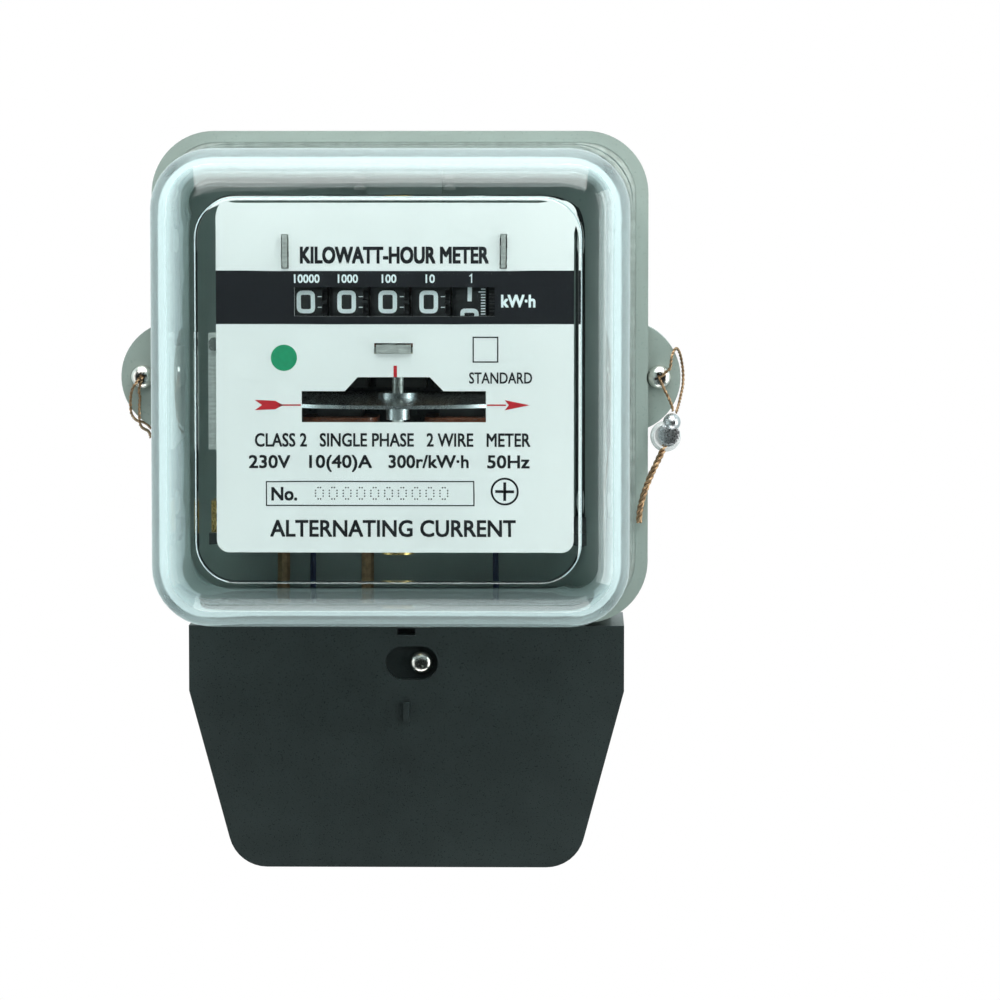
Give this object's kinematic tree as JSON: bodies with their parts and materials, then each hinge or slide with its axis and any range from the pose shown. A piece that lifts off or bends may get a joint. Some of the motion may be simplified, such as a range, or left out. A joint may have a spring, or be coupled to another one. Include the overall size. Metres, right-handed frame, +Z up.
{
  "type": "electric energy meter",
  "caption": "Wall-mounted induction watt-hour meter: pressed-glass cover over a nameplate, number drums and spinning disc, with a dark terminal cover below.",
  "frame": {"origin": "on the wall face, level with the two cover screws and midway between them", "axes": "+X right, -Y to the front, +Z up; +Y points into the wall"},
  "size_m": [0.1449, 0.11, 0.1894],
  "materials": {
    "case_enamel": "satin grey-green enamel",
    "black_enamel": "satin black enamel",
    "dark_moulding": "satin moulded",
    "bakelite": "moulded phenolic",
    "cover_glass": "pressed, clear with a green edge",
    "nickel": "bright nickel plate",
    "zinc_steel": "zinc plated",
    "brass": "machined",
    "aluminium": "brushed",
    "core_steel": "stacked laminations",
    "magnet": "cast",
    "copper": "dull bare copper",
    "coil_wire": "enamelled wire",
    "insulation": "insulation",
    "bobbin": "moulded",
    "rubber": "pale grey, matte",
    "nameplate": "printed enamel",
    "drum_black": "printed drum",
    "pale_plastic": "moulded",
    "seal_metal": "crimped"
  },
  "bodies": {
    "meter_base": {"base_shell": "case_enamel", "hanger_bracket": "zinc_steel", "hanger_rivets": "zinc_steel", "terminal_block": "bakelite", "terminal_block_screws": "zinc_steel", "terminal_sleeves": "brass", "terminal_screws": "brass", "neutral_bar": "brass", "voltage_link": "brass", "chassis": "black_enamel", "chassis_screws": "zinc_steel", "voltage_core": "core_steel", "coil_bobbin": "bobbin", "voltage_coil": "coil_wire", "current_core": "core_steel", "current_coils": "coil_wire", "current_leads": "copper", "voltage_leads": "insulation", "core_screws": "zinc_steel", "magnet_yoke": "zinc_steel", "brake_magnets": "magnet", "yoke_screws": "zinc_steel", "lag_adjuster": "brass", "lower_bearing": "brass", "upper_bearing": "brass", "nameplate": "nameplate", "register_frame": "zinc_steel", "register_screws": "zinc_steel", "drum_shaft": "zinc_steel", "transfer_shaft": "zinc_steel"},
    "main_cover": {"cover_ring": "case_enamel", "cover_gasket": "rubber", "glass_cover": "cover_glass", "cover_screws": "nickel", "seal_wire_right": "copper", "seal_tail_right": "copper", "seal_right": "seal_metal", "seal_wire_left": "copper", "seal_left": "seal_metal"},
    "terminal_lid": {"terminal_cover": "dark_moulding"},
    "terminal_lid_screw": {"terminal_cover_screw": "nickel"},
    "rotor": {"rotor_disc": "aluminium", "disc_hub": "aluminium", "rotor_spindle": "zinc_steel", "rotor_worm": "brass"},
    "first_train": {"worm_wheel": "brass", "first_arbor": "zinc_steel"},
    "second_train": {"second_gear": "brass", "second_arbor": "zinc_steel"},
    "drum_units_body": {"drum_units": "drum_black"},
    "drum_tens_body": {"drum_tens": "drum_black"},
    "drum_hundreds_body": {"drum_hundreds": "drum_black"},
    "drum_thousands_body": {"drum_thousands": "drum_black"},
    "drum_ten_thousands_body": {"drum_ten_thousands": "drum_black"},
    "transfer_pinion_1_body": {"transfer_pinion_1": "pale_plastic"},
    "transfer_pinion_2_body": {"transfer_pinion_2": "pale_plastic"},
    "transfer_pinion_3_body": {"transfer_pinion_3": "pale_plastic"},
    "transfer_pinion_4_body": {"transfer_pinion_4": "pale_plastic"},
    "lever": {"light_load_lever": "zinc_steel"},
    "load_screw": {"full_load_screw": "nickel"}
  },
  "joints": [
    {"name": "main_cover_off", "type": "slide", "parent": "meter_base", "child": "main_cover", "axis": [0, -1, 0], "range_m": [0, 0.12]},
    {"name": "terminal_cover_off", "type": "slide", "parent": "meter_base", "child": "terminal_lid", "axis": [0, -1, 0], "range_m": [0, 0.05]},
    {"name": "terminal_cover_screw_turn", "type": "hinge", "parent": "terminal_lid", "child": "terminal_lid_screw", "pos_m": [0.0053, -0.03, -0.0735], "axis": [0, -1, 0], "range_deg": [-1800, 0]},
    {"name": "rotor_spin", "type": "hinge", "parent": "meter_base", "child": "rotor", "pos_m": [0, -0.051, 0], "axis": [0, 0, 1], "continuous": true},
    {"name": "first_arbor_turn", "type": "hinge", "parent": "meter_base", "child": "first_train", "pos_m": [0, -0.06025, 0.016], "axis": [1, 0, 0], "continuous": true},
    {"name": "second_arbor_turn", "type": "hinge", "parent": "meter_base", "child": "second_train", "pos_m": [0, -0.07104, 0.01648], "axis": [1, 0, 0], "continuous": true},
    {"name": "drum_units_turn", "type": "hinge", "parent": "meter_base", "child": "drum_units_body", "pos_m": [0, -0.0825, 0.021], "axis": [1, 0, 0], "continuous": true},
    {"name": "drum_tens_turn", "type": "hinge", "parent": "meter_base", "child": "drum_tens_body", "pos_m": [0, -0.0825, 0.021], "axis": [1, 0, 0], "continuous": true},
    {"name": "drum_hundreds_turn", "type": "hinge", "parent": "meter_base", "child": "drum_hundreds_body", "pos_m": [0, -0.0825, 0.021], "axis": [1, 0, 0], "continuous": true},
    {"name": "drum_thousands_turn", "type": "hinge", "parent": "meter_base", "child": "drum_thousands_body", "pos_m": [0, -0.0825, 0.021], "axis": [1, 0, 0], "continuous": true},
    {"name": "drum_ten_thousands_turn", "type": "hinge", "parent": "meter_base", "child": "drum_ten_thousands_body", "pos_m": [0, -0.0825, 0.021], "axis": [1, 0, 0], "continuous": true},
    {"name": "transfer_pinion_1_turn", "type": "hinge", "parent": "meter_base", "child": "transfer_pinion_1_body", "pos_m": [0, -0.0726, 0.0309], "axis": [1, 0, 0], "continuous": true},
    {"name": "transfer_pinion_2_turn", "type": "hinge", "parent": "meter_base", "child": "transfer_pinion_2_body", "pos_m": [0, -0.0726, 0.0309], "axis": [1, 0, 0], "continuous": true},
    {"name": "transfer_pinion_3_turn", "type": "hinge", "parent": "meter_base", "child": "transfer_pinion_3_body", "pos_m": [0, -0.0726, 0.0309], "axis": [1, 0, 0], "continuous": true},
    {"name": "transfer_pinion_4_turn", "type": "hinge", "parent": "meter_base", "child": "transfer_pinion_4_body", "pos_m": [0, -0.0726, 0.0309], "axis": [1, 0, 0], "continuous": true},
    {"name": "light_load_swing", "type": "hinge", "parent": "meter_base", "child": "lever", "pos_m": [0.012, -0.03, 0.032], "axis": [0, -1, 0], "range_deg": [-10, 10]},
    {"name": "full_load_turn", "type": "hinge", "parent": "meter_base", "child": "load_screw", "pos_m": [-0.046, -0.058, 0.0096], "axis": [0, -1, 0], "range_deg": [-720, 720]}
  ],
  "couplings": [
    {"joint": "first_arbor_turn", "follows": "rotor_spin", "ratio": -0.016667},
    {"joint": "second_arbor_turn", "follows": "rotor_spin", "ratio": 0.0033333},
    {"joint": "drum_units_turn", "follows": "rotor_spin", "ratio": -0.00033333},
    {"joint": "drum_tens_turn", "follows": "rotor_spin", "ratio": -0.000033333},
    {"joint": "drum_hundreds_turn", "follows": "rotor_spin", "ratio": -0.0000033333},
    {"joint": "drum_thousands_turn", "follows": "rotor_spin", "ratio": -0.00000033333},
    {"joint": "drum_ten_thousands_turn", "follows": "rotor_spin", "ratio": -0.000000033333},
    {"joint": "transfer_pinion_1_turn", "follows": "rotor_spin", "ratio": 0.000083333},
    {"joint": "transfer_pinion_2_turn", "follows": "rotor_spin", "ratio": 0.0000083333},
    {"joint": "transfer_pinion_3_turn", "follows": "rotor_spin", "ratio": 0.00000083333},
    {"joint": "transfer_pinion_4_turn", "follows": "rotor_spin", "ratio": 0.000000083333}
  ]
}
